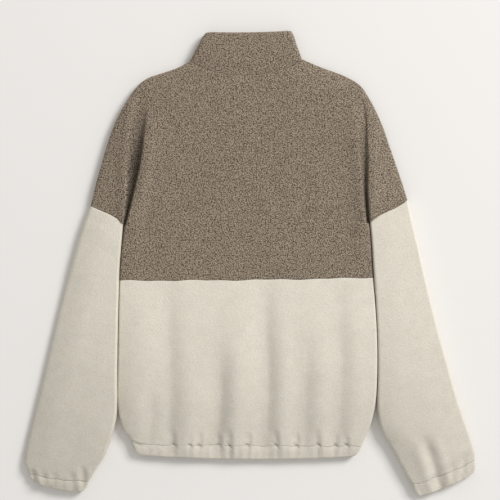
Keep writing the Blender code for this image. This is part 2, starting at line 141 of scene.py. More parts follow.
def through(rows, places):
    """Smooth curve through the rows of a table. The slope at a row is half the step from the row before to
    the row after, and a cubic with those ends and slopes lies between two rows."""
    slopes = np.gradient(rows, axis=0)
    low = np.minimum(places.astype(int), len(rows) - 2)
    t = (places - low)[:, None]
    return ((2 * t ** 3 - 3 * t ** 2 + 1) * rows[low] + (t ** 3 - 2 * t ** 2 + t) * slopes[low]
            + (3 * t ** 2 - 2 * t ** 3) * rows[low + 1] + (t ** 3 - t ** 2) * slopes[low + 1])


def spaced(rows, ends, count, start=0, stop=None):
    """Rows of a table's smooth curve that lie evenly apart from one of its rows to another. The mean length
    of the paths that the given points take, each a pair of columns, is measured on a fine curve and shared
    out."""
    fine = np.linspace(start, len(rows) - 1 if stop is None else stop, 400)
    curve = through(rows, fine)
    steps = np.mean([np.linalg.norm(np.diff(curve[:, pair], axis=0), axis=1) for pair in ends], axis=0)
    path = np.concatenate([[0.0], np.cumsum(steps)])
    return through(rows, np.interp(np.linspace(0, path[-1], count), path, fine))


def rise(share):
    """Rounded edge: 1 less the remaining share to the power 2.5, and that to the power 1 over 2.5, so that
    it starts upright and is level where the share is 1."""
    share = np.clip(share, 0.0, 1.0)
    return (1 - (1 - share) ** 2.5) ** 0.4


def ease(share):
    """Smooth step from 0 to 1: three times the square of the share less twice its cube."""
    share = np.clip(share, 0.0, 1.0)
    return share * share * (3 - 2 * share)


def run(points, axis=1):
    """Distance of each point from the first one of its row, or of its column where axis is 0: the running
    sum of the steps between points."""
    steps = np.linalg.norm(np.diff(points, axis=axis), axis=2)
    return np.insert(np.cumsum(steps, axis=axis), 0, 0.0, axis=axis)


def both_ends(place, radius, last=None):
    """Product of the rounded edges at the two ends of each row, the last of its own radius where one is
    given. On a short row a radius is at most 0.42 of its length."""
    length = place[:, -1:]
    last = np.minimum(radius if last is None else last, 0.42 * length)
    return rise(place / np.minimum(radius, 0.42 * length)) * rise((length - place) / last)


def arch(place, radius):
    """Quarter sine, from 0 at an end to 1 at the radius and beyond."""
    return np.sin(np.pi / 2 * np.clip(place / radius, 0, 1))


def domed(place):
    """Share of its height that a row of the upper back keeps: 1 less 0.38 of what a quarter sine over 45 mm
    lacks on the left, and less 0.62 of what one over 48 mm lacks on the right."""
    return 1 - 0.38 * (1 - arch(place, 45.0)) - 0.62 * (1 - arch(place[:, -1:] - place, 48.0))


def crowded(count):
    """Shares from 0 to 1 that crowd at both ends, as the cosine of half a turn does."""
    return (1 - np.cos(np.pi * np.linspace(0, 1, count))) / 2


def straight(left, right, share):
    """Rows of points at the given shares of the way from left to right."""
    return left[:, None] + (right - left)[:, None] * share[:, None]


def across_body(rows, at, names, share):
    """Rows across the body between two named points, with a parabola added in Y that brings the middle of
    each row to its own middle_y."""
    left, right = rows[:, at[names[0]]:at[names[0]] + 2], rows[:, at[names[1]]:at[names[1]] + 2]
    plan = straight(left, right, share)
    sag = rows[:, at["middle_y"]] - (left[:, 1] + right[:, 1]) / 2
    plan[:, :, 1] += sag[:, None] * (1 - (2 * share - 1) ** 2)
    return plan


def evenly(points, count):
    """Each row of points shared out again, so that they lie evenly apart along it. A fourth value goes with
    them."""
    place = run(points[:, :, :3])
    wanted = np.linspace(0, 1, count)
    rows = [[np.interp(wanted * way[-1], way, row[:, axis]) for axis in range(points.shape[2])]
            for way, row in zip(place, points)]
    return np.array(rows).transpose(0, 2, 1)


def waves(x, y, size, seed):
    """Gentle unevenness of cloth that is laid by hand: the mean of eight sines in seeded directions, with
    wave lengths from one to two and a half times size."""
    draw = np.random.default_rng(seed)
    total = np.zeros_like(x)
    for _ in range(8):
        turn = draw.uniform(0, np.pi)
        length = size * draw.uniform(1.0, 2.5)
        total += np.sin(2 * np.pi * (x * np.cos(turn) + y * np.sin(turn)) / length + draw.uniform(0, 6.28))
    return total / 8


def soft_folds(plan):
    """Drop of the cloth in the soft folds of the back. Across a fold it is a bell curve, 1.7 times as wide on
    the left as on the right, with a bell of rise a quarter as high on both sides. Along it the drop grows in
    smoothly over the first five ninths, and its line wavers by a sine of 2 mm. The folds fade within 25 mm
    of the ends of a row."""
    drop = np.zeros(plan.shape[:2])
    for top_x, top_y, foot_x, foot_y, depth, half_width in BACK_FOLDS:
        share = (top_y - plan[:, :, 1]) / (top_y - foot_y)
        line = top_x + (foot_x - top_x) * np.clip(share, 0, 1) + 2.0 * np.sin(plan[:, :, 1] / 37.0 + top_x)
        away = (plan[:, :, 0] - line) / half_width
        away = away / np.where(away < 0, 1.7, 1.0)
        drop += depth * ease(share * 1.8) * (np.exp(-away ** 2) - 0.25 * np.exp(-(np.abs(away) - 2.1) ** 2))
    place = run(plan)
    return drop * rise(place / 25) * rise((place[:, -1:] - place) / 25)


def uneven(plan):
    """Rise of the laid cloth in slow waves, fading over 40 mm towards both ends of each row."""
    return WAVE_HEIGHT * waves(plan[:, :, 0], plan[:, :, 1], BODY_WAVES, 3) * both_ends(run(plan), 40)


def shoulder_fold(place, fold, rows, at, side):
    """Rise and drop of the cloth beside a shoulder fold, and a share that lowers its pile and paints shade
    into the fold. The foot of the valley lies the given shift to the right of the fold's line. The drop is 1
    less the square of the share of the slope's width on the left, and a steep smooth step on the right. A
    ridge of bell form lies beyond each side. The share is high in the valley, by the drop and the square of
    the depth, where it flattens the pile and darkens the colour as painted shade."""
    depth, shift, slope_width, cliff_width = (rows[:, at[side + name]][:, None]
                                              for name in ("_depth", "_shift", "_slope", "_cliff"))
    away = place - place[:, fold:fold + 1] - shift
    ridge = 0.5 * np.exp(-((away + 1.15 * slope_width) / 13) ** 2)
    ridge = ridge + 0.5 * np.exp(-((away - cliff_width - 9) / 12) ** 2)
    drop = np.where(away > 0, 1 - ease(away / cliff_width), 1 - np.clip(-away / slope_width, 0, 1) ** 2)
    shade_and_flat_pile = np.clip(depth / 10, 0, 1) ** 2 * np.clip(drop * 1.25, 0, 1)
    return depth * (ridge * both_ends(place, EDGE_RADIUS) - drop), shade_and_flat_pile


def upper_grid(rows, at, back, cap_cells, body_cells):
    """Outer points of the upper back or the upper front, row by row: straight from the outer end to the
    shoulder fold, bowed across the body, and straight out again. The back has the rounded edges, the
    shoulder folds, the soft folds and a little unevenness, and the front only the rounded edges, turned
    down."""
    cap = crowded(90)
    left, fold_left, fold_right, right = rows[:, 0:2], rows[:, 2:4], rows[:, 5:7], rows[:, 7:9]
    shade_and_flat_pile = 0.0
    joined = np.concatenate([straight(left, fold_left, cap)[:, :-1],
                             across_body(rows, at, ("fold_left_x", "fold_right_x"), crowded(420)),
                             straight(fold_right, right, cap)[:, 1:]], axis=1)
    place = run(joined)
    ends = both_ends(place, EDGE_RADIUS)
    first = len(cap) - 1
    last = joined.shape[1] - len(cap)
    if back:
        seam = SEAM_HEIGHT + SEAM_GAP / 2
        ends = ends * domed(place)
        height = seam + (rows[:, at["height"]][:, None] - seam) * ends
        # Each shoulder fold also gives a share that flattens the pile and is painted shade in its valley.
        for fold, side in ((first, "left"), (last, "right")):
            moved, fold_shade_and_flat_pile = shoulder_fold(place, fold, rows, at, side)
            height += moved
            shade_and_flat_pile = np.maximum(shade_and_flat_pile, fold_shade_and_flat_pile)
        height -= soft_folds(joined)
        height += uneven(joined)
    else:
        height = (SEAM_HEIGHT - SEAM_GAP / 2) * (1 - ends)
    points = np.dstack([joined, height, height * 0 + shade_and_flat_pile])
    return np.concatenate([evenly(points[:, :first + 1], cap_cells + 1)[:, :-1],
                           evenly(points[:, first:last + 1], body_cells + 1),
                           evenly(points[:, last:], cap_cells + 1)[:, 1:]], axis=1)


def upper_rows(table, above, beside):
    """Rows of the upper panel: evenly spaced above the armholes, and evenly spaced beside them."""
    return np.concatenate([spaced(table, UPPER_ENDS, above + 1, stop=ARMHOLE_STATION)[:-1],
                           spaced(table, UPPER_ENDS, beside + 1, start=ARMHOLE_STATION)])


def upper_panel(shoulders, below, cap_cells, above):
    """Grid of an upper panel and its kept cells: all of them above the armholes, and those of the body from
    there down."""
    grid = np.concatenate([shoulders, np.pad(below, ((0, 0), (cap_cells, cap_cells), (0, 0)), mode="edge")])
    grid[-1, :, 1] += SEAM_GAP / 2
    cells = np.ones((len(grid) - 1, grid.shape[1] - 1), dtype=bool)
    cells[above:, :cap_cells] = False
    cells[above:, -cap_cells:] = False
    return grid, cells


def crowned(rows, at, place):
    """Share of its height that a row across the body keeps: 1 less the crown of each side times what a
    quarter sine over 50 mm on the left and over 35 mm on the right lacks."""
    left = rows[:, at["left_crown"]][:, None] * (1 - arch(place, 50.0))
    right = rows[:, at["right_crown"]][:, None] * (1 - arch(place[:, -1:] - place, 35.0))
    return 1 - left - right


def body_grid(rows, at, back, cells):
    """Outer points of rows across the body between two rounded ends, on the back with its soft folds, a
    little unevenness and the ridges that run out below the underarms."""
    plan = across_body(rows, at, ("left_x", "right_x"), crowded(480))
    place = run(plan)
    ends = both_ends(place, SIDE_RADIUS)
    if back:
        seam = SEAM_HEIGHT + SEAM_GAP / 2
        height = seam + (rows[:, at["height"]][:, None] - seam) * ends * crowned(rows, at, place)
        nearest = np.minimum(place, place[:, -1:] - place)
        height += rows[:, at["ridge"]][:, None] * ends * np.exp(-((nearest - 15) / 15) ** 2)
        height -= soft_folds(plan)
        height += uneven(plan)
    else:
        height = (SEAM_HEIGHT - SEAM_GAP / 2) * (1 - ends)
    return evenly(np.dstack([plan, height, height * 0]), cells + 1)


def sewn(points):
    """Slight waver of the seams, moved in Y on both sides of each alike. The seam between the colours has
    two sines of X, fading over 9 mm. The hem seam and the cuff seams have two shorter ones, fading over 6 mm
    and 5 mm, and the hem seam rises to a point at each notch and by 9 mm at its left end. The left drop seam
    bows up and the right one makes a flat S, fading over 14 mm."""
    x, y = points[..., 0], points[..., 1]
    colour = (0.7 * np.sin(x / 19.0) + 0.5 * np.sin(x / 8.3 + 1.0)) * np.exp(-((y + 28) / 9) ** 2)
    colour = colour * np.clip((214 - np.abs(x + 6)) / 12, 0, 1)
    points_up = sum(np.exp(-np.abs(x - notch) / 4.5) for notch in HEM_NOTCHES)
    hem = 0.9 * np.sin(x / 9.1 + 2.0) + 0.5 * np.sin(x / 4.3) + 2.2 * points_up
    hem = hem * np.exp(-((y + 311) / 6) ** 2) + 9.0 * np.exp(-((x + 205) / 15) ** 2 - ((y + 308) / 15) ** 2)
    cuff_y = np.where(x < 0, -356 - 0.119 * (x + 373), -333 - 0.396 * (381 - x))
    cuff = (0.9 * np.sin(x / 5.3) + 0.5 * np.sin(x / 2.9 + 1.0)) * np.exp(-((y - cuff_y) / 5) ** 2)
    cuff = cuff * (np.abs(x) > 240)
    left = np.clip((x + 270) / 58, 0, 1)
    right = np.clip((267 - x) / 66, 0, 1)
    left_drop = 3.0 * np.sin(np.pi * left ** 1.5) * np.exp(-((y - 97 + 31 * left) / 14) ** 2) * (x < 0)
    right_drop = -1.4 * np.sin(2 * np.pi * right) * np.exp(-((y - 107 + 38 * right) / 14) ** 2) * (x > 0)
    moved = points.copy()
    moved[..., 1] += colour + hem + cuff + left_drop + right_drop
    return moved


def tufts(across, along, size, seed):
    """Curly pile, from 0 between the tufts to 1 on the top of one. The cloth is cut into squares, with every
    other row of them half a square on, and each has a tuft near its middle at a seeded place. The height is
    the largest, over the tufts nearby, of the tuft's own height times 1 less the squared distance over its
    squared radius."""
    row = np.floor(along / size).astype(int)
    lowest = row.min() - 1
    leftmost = np.floor(across.min() / size).astype(int) - 3
    wide = np.floor(across.max() / size).astype(int) - leftmost + 4
    chance = np.random.default_rng(seed).random((row.max() - lowest + 2, wide, 4))
    height = np.zeros(across.shape)
    for row_step in (-1, 0, 1):
        near_row = row + row_step
        shift = 0.5 * (near_row % 2)
        column = np.floor(across / size - shift).astype(int)
        for column_step in (-1, 0, 1):
            near_column = column + column_step
            dice = chance[near_row - lowest, near_column - leftmost]
            centre_across = (near_column + shift + 0.2 + 0.6 * dice[..., 0]) * size
            centre_along = (near_row + 0.2 + 0.6 * dice[..., 1]) * size
            away = (across - centre_across) ** 2 + (along - centre_along) ** 2
            radius = size * (0.66 + 0.22 * dice[..., 2])
            height = np.maximum(height, (1 - away / radius ** 2) * (0.6 + 0.4 * dice[..., 3]))
    return height


def normals_of(grid, cells, ring):
    """Unit normals of a grid of points: each kept cell's is the cross product of its diagonals, and each
    point has the sum over the cells around it."""
    after = np.roll(grid, -1, axis=1) if ring else grid[:, 1:]
    here = grid if ring else grid[:, :-1]
    normal = np.cross(after[1:] - here[:-1], after[:-1] - here[1:]) * cells[:, :, None]
    total = np.zeros_like(grid)
    for rows in (slice(0, -1), slice(1, None)):
        if ring:
            total[rows] += normal + np.roll(normal, 1, axis=1)
        else:
            total[rows, :-1] += normal
            total[rows, 1:] += normal
    return total / np.maximum(np.linalg.norm(total, axis=2), 1e-9)[:, :, None]


def square_to(direction, normals):
    """Unit normals without their share along a direction in plan, so that a cut end stays in one plane."""
    direction = direction * np.array([1.0, 1.0, 0.0])
    direction = direction / np.maximum(np.linalg.norm(direction, axis=-1, keepdims=True), 1e-9)
    left = normals - (normals * direction).sum(-1, keepdims=True) * direction
    return left / np.maximum(np.linalg.norm(left, axis=-1, keepdims=True), 1e-9)


def on_cloth(points):
    """Place of each point on the cloth itself, across and along it: its X and its Y, lengthened by what the
    path along its row or column gains over the same path in plan, so that steep sides aren't stretched."""
    places = []
    for axis, other, start in ((1, 0, points.shape[1] // 2), (0, 1, 0)):
        gain = run(points, axis) - run(points[:, :, :2], axis)
        gain = gain - np.take(gain, [start], axis=axis)
        towards = np.sign(np.diff(points[:, :, other], axis=axis).sum())
        places.append(points[:, :, other] + (gain if axis == 1 else towards * gain))
    return places


def wall(name, outer, material, pile_height=TAUPE_PILE, cloth=CLOTH, cells=None, ring=False, outward=1,
         rolls=(0.2, 0.3), upright=True, seed=1):
    """Closed wall of cloth over a grid of outer points. Each end row is rolled in by the given depth, which
    fades along a rounded edge over the roll's width. The outer face is every point moved along its normal by
    the height of the pile, lower beside a seam and where a fourth value of the point flattens the pile. The
    same fourth value goes to the material as an attribute that darkens the colour: painted shade in folds and
    hem notches, and a painted falloff of the light. The inner face is every fourth point moved in by the
    cloth's thickness, and strips of triangles close the free edges between the two. Upright says that the
    side edges are cut level at the side seams."""
    outer = sewn(outer)
    shade_and_flat_pile = outer[:, :, 3] if outer.shape[2] > 3 else np.zeros(outer.shape[:2])
    outer = outer[:, :, :3]
    rows, columns = outer.shape[:2]
    if cells is None:
        cells = np.ones((rows - 1, columns if ring else columns - 1), dtype=bool)
    normals = normals_of(outer, cells, ring) * outward
    away = run(outer, axis=0)
    for depth, place in zip(rolls, (away, away[-1:] - away)):
        outer = outer - normals * (depth * (1 - rise(place / ROLL_WIDTH)))[:, :, None]
    normals = normals_of(outer, cells, ring) * outward
    inward = normals.copy()
    inward[0] = square_to(outer[1] - outer[0], inward[0])
    inward[-1] = square_to(outer[-2] - outer[-1], inward[-1])
    if upright and not ring:
        for column in (0, -1):
            inward[:, column, 2] = 0.0
            inward[:, column] /= np.maximum(np.linalg.norm(inward[:, column], axis=1), 1e-9)[:, None]
    across, along = on_cloth(outer)
    pile = tufts(across, along, TUFT_SIZE, seed)
    fade = (0.3 + 0.7 * ease(np.minimum(away, away[-1:] - away) / 3.0)) * (1 - shade_and_flat_pile)
    shown = outer + normals * ((pile - 0.5) * pile_height * fade)[:, :, None]
    shown[:, :, 2] = np.maximum(shown[:, :, 2], FLOOR_CLEARANCE)
    inside = (outer - inward * cloth)[::INNER_STEP, ::INNER_STEP]
    number = np.arange(rows * columns).reshape(rows, columns)
    inner_number = rows * columns + np.arange(inside.shape[0] * inside.shape[1]).reshape(inside.shape[:2])
    blocks = cells[::INNER_STEP, ::INNER_STEP]
    faces = [squares(number, cells, ring), squares(inner_number, blocks, ring)[:, ::-1],
             rims(number, inner_number, blocks, ring)]
    points = np.concatenate([shown.reshape(-1, 3), inside.reshape(-1, 3)])
    # The fourth value becomes an attribute, which the material uses to paint shade.
    values = {key: np.concatenate([value.reshape(-1), np.full(inner_number.size, inner)])
              for key, value, inner in (("pile", pile, 0.5), ("shade_and_flat_pile", shade_and_flat_pile, 0.0),
                                        ("across", across, 0.0), ("along", along, 0.0))}
    return cloth_piece(name, points, faces, values, material)


def squares(number, kept, ring):
    """Corners of the kept cells of a grid of numbered points, four to a cell."""
    after = np.roll(number, -1, axis=1) if ring else number[:, 1:]
    here = number if ring else number[:, :-1]
    return np.stack([here[:-1], here[1:], after[1:], after[:-1]], axis=2)[kept]


def rims(number, inner_number, blocks, ring):
    """Triangles that close the free edges between the fine outer grid and the inner grid. Along each free
    side of an inner cell, the fine steps of the first half fan from its first point and the rest from its
    last."""
    columns, inner_columns = number.shape[1], inner_number.shape[1]
    high, wide = blocks.shape
    framed = np.zeros((high + 2, wide + 2), dtype=bool)
    framed[1:-1, 1:-1] = blocks
    if ring:
        framed[1:-1, 0] = blocks[:, -1]
        framed[1:-1, -1] = blocks[:, 0]
    strips = []
    for beside, start, ahead in (((0, -1), (0, 0), (1, 0)), ((1, 0), (1, 0), (0, 1)),
                                 ((0, 1), (1, 1), (-1, 0)), ((-1, 0), (0, 1), (0, -1))):
        next_to = framed[1 + beside[0]:1 + beside[0] + high, 1 + beside[1]:1 + beside[1] + wide]
        row, column = np.nonzero(blocks & ~next_to)
        row, column = row + start[0], column + start[1]
        first = inner_number[row, column % inner_columns]
        last = inner_number[row + ahead[0], (column + ahead[1]) % inner_columns]
        fine = [number[row * INNER_STEP + ahead[0] * step,
                       (column * INNER_STEP + ahead[1] * step) % columns] for step in range(INNER_STEP + 1)]
        half = INNER_STEP // 2
        for step in range(INNER_STEP):
            strips.append(np.stack([fine[step + 1], fine[step], first if step < half else last], axis=1))
        strips.append(np.stack([fine[half], first, last], axis=1))
    return np.concatenate(strips)


def cloth_piece(name, points, faces, values, material):
    """Mesh object from points in millimetres and arrays of faces, with named values of the points as
    attributes. Points that no face uses are dropped, and the faces are turned over if the volume comes out
    negative."""
    used = np.zeros(len(points), dtype=bool)
    for group in faces:
        used[group.reshape(-1)] = True
    place = np.cumsum(used) - 1
    faces = [place[group] for group in faces]
    points = (points[used] - MIDDLE) * MM
    fans = np.concatenate([group[:, [0, i, i + 1]] for group in faces for i in range(1, group.shape[1] - 1)])
    if (points[fans[:, 0]] * np.cross(points[fans[:, 1]], points[fans[:, 2]])).sum() < 0:
        faces = [group[:, ::-1] for group in faces]
    sizes = np.concatenate([np.full(len(group), group.shape[1]) for group in faces])
    corners = np.concatenate([group.reshape(-1) for group in faces])
    mesh = bpy.data.meshes.new(name)
    mesh.vertices.add(len(points))
    mesh.vertices.foreach_set("co", points.reshape(-1))
    mesh.loops.add(len(corners))
    mesh.loops.foreach_set("vertex_index", corners.astype(np.int32))
    mesh.polygons.add(len(sizes))
    mesh.polygons.foreach_set("loop_start", np.insert(np.cumsum(sizes), 0, 0)[:-1].astype(np.int32))
    mesh.polygons.foreach_set("use_smooth", np.arange(len(sizes)) < len(faces[0]))
    mesh.update(calc_edges=True)
    mesh.validate()
    for key, value in values.items():
        mesh.attributes.new(key, "FLOAT", "POINT").data.foreach_set("value", value[used])
    mesh.materials.append(material)
    piece = bpy.data.objects.new(name, mesh)
    bpy.context.scene.collection.objects.link(piece)
    return piece


def fleece(name, tip, root, spread, relief):
    """Matt curly pile. Its colour runs from the shaded roots to the tips, over the spread below and above a
    middle, by the sum of three heights: the tufts of the mesh, small nubs from the distance to the nearest
    of points scattered on the cloth, and a noise of curls. A slow change of tone lies over it, painted shade
    darkens it by an attribute of the folds, the hem notches and the light's falloff, and the sum of heights
    makes the relief. The finish has a soft sheen."""
    middle = 2.0
    material = bpy.data.materials.new(name)
    material.use_nodes = True
    tree = material.node_tree
    shader = tree.nodes["Principled BSDF"]
    shader.inputs["Roughness"].default_value = 0.95
    shader.inputs["Specular IOR Level"].default_value = 0.15
    shader.inputs["Subsurface Weight"].default_value = 0.3
    shader.inputs["Subsurface Radius"].default_value = (1.0, 0.85, 0.7)
    shader.inputs["Subsurface Scale"].default_value = 0.004
    shader.inputs["Sheen Weight"].default_value = 0.2
    shader.inputs["Sheen Roughness"].default_value = 0.5
    shader.inputs["Sheen Tint"].default_value = (*tip, 1.0)

    def node(kind, **settings):
        """New node with each setting put on its socket of that name, or on the node itself."""
        made = tree.nodes.new(kind)
        for key, value in settings.items():
            if key in made.inputs:
                made.inputs[key].default_value = value
            else:
                setattr(made, key, value)
        return made

    def sum_of(first, factor, second):
        """The first value times a factor, plus the second."""
        step = node("ShaderNodeMath", operation="MULTIPLY_ADD")
        step.inputs[1].default_value = factor
        tree.links.new(first, step.inputs[0])
        tree.links.new(second, step.inputs[2])
        return step.outputs["Value"]

    place = node("ShaderNodeTexCoord").outputs["Object"]
    nubs = node("ShaderNodeTexVoronoi", voronoi_dimensions="2D", Scale=0.46, Randomness=1.0)
    curls = node("ShaderNodeTexNoise", Scale=760.0, Detail=2.0, Roughness=0.7, Distortion=0.4)
    tone = node("ShaderNodeTexNoise", Scale=60.0, Detail=4.0, Roughness=0.55)
    cloth_place = node("ShaderNodeCombineXYZ")
    for axis, way in (("X", "across"), ("Y", "along")):
        value = node("ShaderNodeAttribute", attribute_name=way)
        tree.links.new(value.outputs["Fac"], cloth_place.inputs[axis])
    tree.links.new(cloth_place.outputs["Vector"], nubs.inputs["Vector"])
    for texture in (curls, tone):
        tree.links.new(place, texture.inputs["Vector"])
    pile = node("ShaderNodeAttribute", attribute_name="pile")
    height = sum_of(curls.outputs["Fac"], 5.0, pile.outputs["Fac"])
    height = sum_of(nubs.outputs["Distance"], -3.0, height)
    ramp = node("ShaderNodeMapRange", interpolation_type="SMOOTHSTEP")
    ramp.inputs["From Min"].default_value = middle - spread
    ramp.inputs["From Max"].default_value = middle + spread
    tree.links.new(height, ramp.inputs["Value"])
    colour = node("ShaderNodeMix", data_type="RGBA")
    colour.inputs["A"].default_value = (*root, 1.0)
    colour.inputs["B"].default_value = (*tip, 1.0)
    tree.links.new(ramp.outputs["Result"], colour.inputs["Factor"])
    worn = node("ShaderNodeMapRange")
    worn.inputs["From Min"].default_value = 0.3
    worn.inputs["From Max"].default_value = 0.7
    worn.inputs["To Min"].default_value = 0.97
    worn.inputs["To Max"].default_value = 1.03
    tree.links.new(tone.outputs["Fac"], worn.inputs["Value"])
    toned = node("ShaderNodeVectorMath", operation="SCALE")
    tree.links.new(colour.outputs["Result"], toned.inputs[0])
    # Painted shade: the colour is darkened by 0.62 times the attribute of the folds, hem notches and light's
    # falloff.
    painted_shade_value = node("ShaderNodeAttribute", attribute_name="shade_and_flat_pile")
    shade = sum_of(painted_shade_value.outputs["Fac"], -0.62, worn.outputs["Result"])
    tree.links.new(shade, toned.inputs["Scale"])
    tree.links.new(toned.outputs["Vector"], shader.inputs["Base Color"])
    bump = node("ShaderNodeBump")
    bump.inputs["Strength"].default_value = relief
    bump.inputs["Distance"].default_value = 0.001
    tree.links.new(height, bump.inputs["Height"])
    tree.links.new(bump.outputs["Normal"], shader.inputs["Normal"])
    return material


TAUPE = fleece("taupe_fleece", tip=(0.45, 0.368, 0.28), root=(0.085, 0.066, 0.047), spread=1.4, relief=0.25)

upper, upper_at = named([line + fold for line, fold in zip(UPPER_BACK, SHOULDER_FOLDS)],
                        UPPER_COLUMNS + FOLD_SHAPE)
underarm, body_at = named(UNDERARM, BODY_COLUMNS)
back_rows = upper_rows(upper, ABOVE_ARMHOLE, BESIDE_ARMHOLE)
back_shoulders = upper_grid(back_rows, upper_at, True, CAP_CELLS, BODY_CELLS)
below = body_grid(spaced(underarm, BODY_ENDS, BELOW_ARMHOLE + 1)[1:], body_at, True, BODY_CELLS)
grid, cells = upper_panel(back_shoulders, below, CAP_CELLS, ABOVE_ARMHOLE)
upper_back = wall("upper_back", grid, TAUPE, cells=cells, rolls=(0.1, 0.3), seed=31)
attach(upper_back, "root")
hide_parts("back_upper")


# Upper front: the same taupe fleece under the upper back, face down on the surface, with a lower neckline.
# It is cut from one plain piece, since only its outline can be told from the back.
FRONT_NECK = (
    (-102, 342, -86, 324, 283, 72, 327, 88, 346),
    (-126, 330, -110, 305, 270, 100, 308, 116, 334),
    (-153, 321, -137, 291, 256, 129, 294, 143, 324),
    (-173, 314, -160, 281, 241, 153, 281, 167, 314),
)
FRONT_CAP_CELLS = 20
FRONT_BODY_CELLS = 200
FRONT_ABOVE = 20
FRONT_BESIDE = 100
FRONT_BELOW = 40
front = upper.copy()
front[:len(FRONT_NECK), :9] = FRONT_NECK
shoulders = upper_grid(upper_rows(front, FRONT_ABOVE, FRONT_BESIDE), upper_at, False, FRONT_CAP_CELLS,
                       FRONT_BODY_CELLS)
below = body_grid(spaced(underarm, BODY_ENDS, FRONT_BELOW + 1)[1:], body_at, False, FRONT_BODY_CELLS)
grid, cells = upper_panel(shoulders, below, FRONT_CAP_CELLS, FRONT_ABOVE)
upper_front = wall("upper_front", grid, TAUPE, cells=cells, outward=-1, seed=12)
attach(upper_front, "root")
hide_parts("front_upper")


# Drop shoulders: the taupe upper part of each sleeve, sewn into the armhole and wrapped round the outer
# edge from back to front without a seam there.
def drop_shoulder(back, front):
    """Strip of points from the shoulder fold on the back, over the outer edge, to the fold on the front. Its
    two long sides and its top are moved in by the seam gap."""
    strip = np.concatenate([back[:, ::-1], front[:, 1:]], axis=1)
    for seam, beside in ((0, 8), (-1, -9)):
        away = strip[:, beside] - strip[:, seam]
        away[:, 2:] = 0.0
        strip[:, seam] += SEAM_GAP * away / np.linalg.norm(away, axis=1)[:, None]
    down = strip[1] - strip[0]
    strip[0, :, :3] += SEAM_GAP * down[:, :3] / np.linalg.norm(down[:, :3], axis=1)[:, None]
    return strip


front_rows = upper_rows(front, ABOVE_ARMHOLE, BESIDE_ARMHOLE)
front_shoulders = upper_grid(front_rows, upper_at, False, FRONT_CAP_CELLS, FRONT_BODY_CELLS)
for side, step, shown_area in (("left", 1, 0.0245), ("right", -1, 0.0225)):
    # The back strip keeps its fourth value, so the painted shade of each shoulder fold runs on over the
    # shoulder.
    back_cap = back_shoulders[ABOVE_ARMHOLE:, ::step][:, :CAP_CELLS + 1]
    front_cap = front_shoulders[ABOVE_ARMHOLE:, ::step][:, :FRONT_CAP_CELLS + 1]
    shoulder = wall(side + "_shoulder", drop_shoulder(back_cap, front_cap), TAUPE, outward=-step,
                    rolls=(0.0, 0.3), upright=False, seed=31)
    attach(shoulder, "root")
    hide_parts("shoulder_" + side)


# Stand collar: taupe fleece doubled over at its top edge and sewn into the neckline, a tube that lies flat
# above the neck seam.
COLLAR_CLOTH = 7.0
COLLAR_COLUMNS = ("left_x", "left_y", "near_left_x", "near_left_y", "middle_y", "near_right_x",
                  "near_right_y", "right_x", "right_y", "front_near_y", "front_y", "height")
COLLAR = (
    (-102, 342, -85, 332, 318, 71, 335, 88, 346, -8, 283, 19.0),
    (-95, 356, -79, 348, 338, 66, 350, 84, 358, -5, 312, 20.8),
    (-87, 371, -72, 365, 357, 61, 366, 79, 371, -3, 344, 21.5),
    (-80, 384, -66, 380, 374, 57, 381, 75, 384, -1, 370, 21.0),
    (-74, 391.5, -60, 391.5, 391, 53, 393, 70, 394.5, 0, 390, 19.5),
)


def tube_rings(back, back_height, front, front_height, back_cells, front_cells):
    """Rings of a tube that lies flat: the back half from left to right, then the front half from right to
    left, each shared out evenly. The two halves meet at their ends."""
    over = evenly(np.dstack([back, back_height]), back_cells + 1)
    under = evenly(np.dstack([front, front_height])[:, ::-1], front_cells + 1)
    return np.concatenate([over, under[:, 1:-1]], axis=1)


def collar_half(rows, at, back):
    """Plan of one half of the collar: straight from each outer end to the point next to it and bowed between
    those two, lower on the front."""
    rows = rows.copy()
    if not back:
        rows[:, at["near_left_y"]] += rows[:, at["front_near_y"]]
        rows[:, at["near_right_y"]] += rows[:, at["front_near_y"]]
        rows[:, at["middle_y"]] = rows[:, at["front_y"]]
    left, near_left, near_right, right = rows[:, 0:2], rows[:, 2:4], rows[:, 5:7], rows[:, 7:9]
    side = np.linspace(0, 1, 30)
    return np.concatenate([straight(left, near_left, side)[:, :-1],
                           across_body(rows, at, ("near_left_x", "near_right_x"), np.linspace(0, 1, 120)),
                           straight(near_right, right, side)[:, 1:]], axis=1)


collar, collar_at = named(COLLAR, COLLAR_COLUMNS)
rows = spaced(collar, UPPER_ENDS, 45)
back = collar_half(rows, collar_at, True)
front = collar_half(rows, collar_at, False)
place = run(back)
near_seam = np.exp(-run(back, axis=0) / 14.0)
ends = both_ends(place, EDGE_RADIUS) * (1 - near_seam * (1 - domed(place)))
back_height = SEAM_HEIGHT + (rows[:, collar_at["height"]][:, None] - SEAM_HEIGHT) * ends
back_height += near_seam * uneven(back)
back_height += 0.5 * (1 - near_seam) * waves(back[:, :, 0], back[:, :, 1], 35, 8)
front_height = SEAM_HEIGHT * (1 - both_ends(run(front), EDGE_RADIUS))
grid = tube_rings(back, back_height, front, front_height, 144, 72)
grid[0, :, 1] += SEAM_GAP / 2
stand_collar = wall("stand_collar", grid, TAUPE, cloth=COLLAR_CLOTH, ring=True, outward=-1,
                    rolls=(0.15, 2.2), seed=13)
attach(stand_collar, "root")
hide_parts("collar")


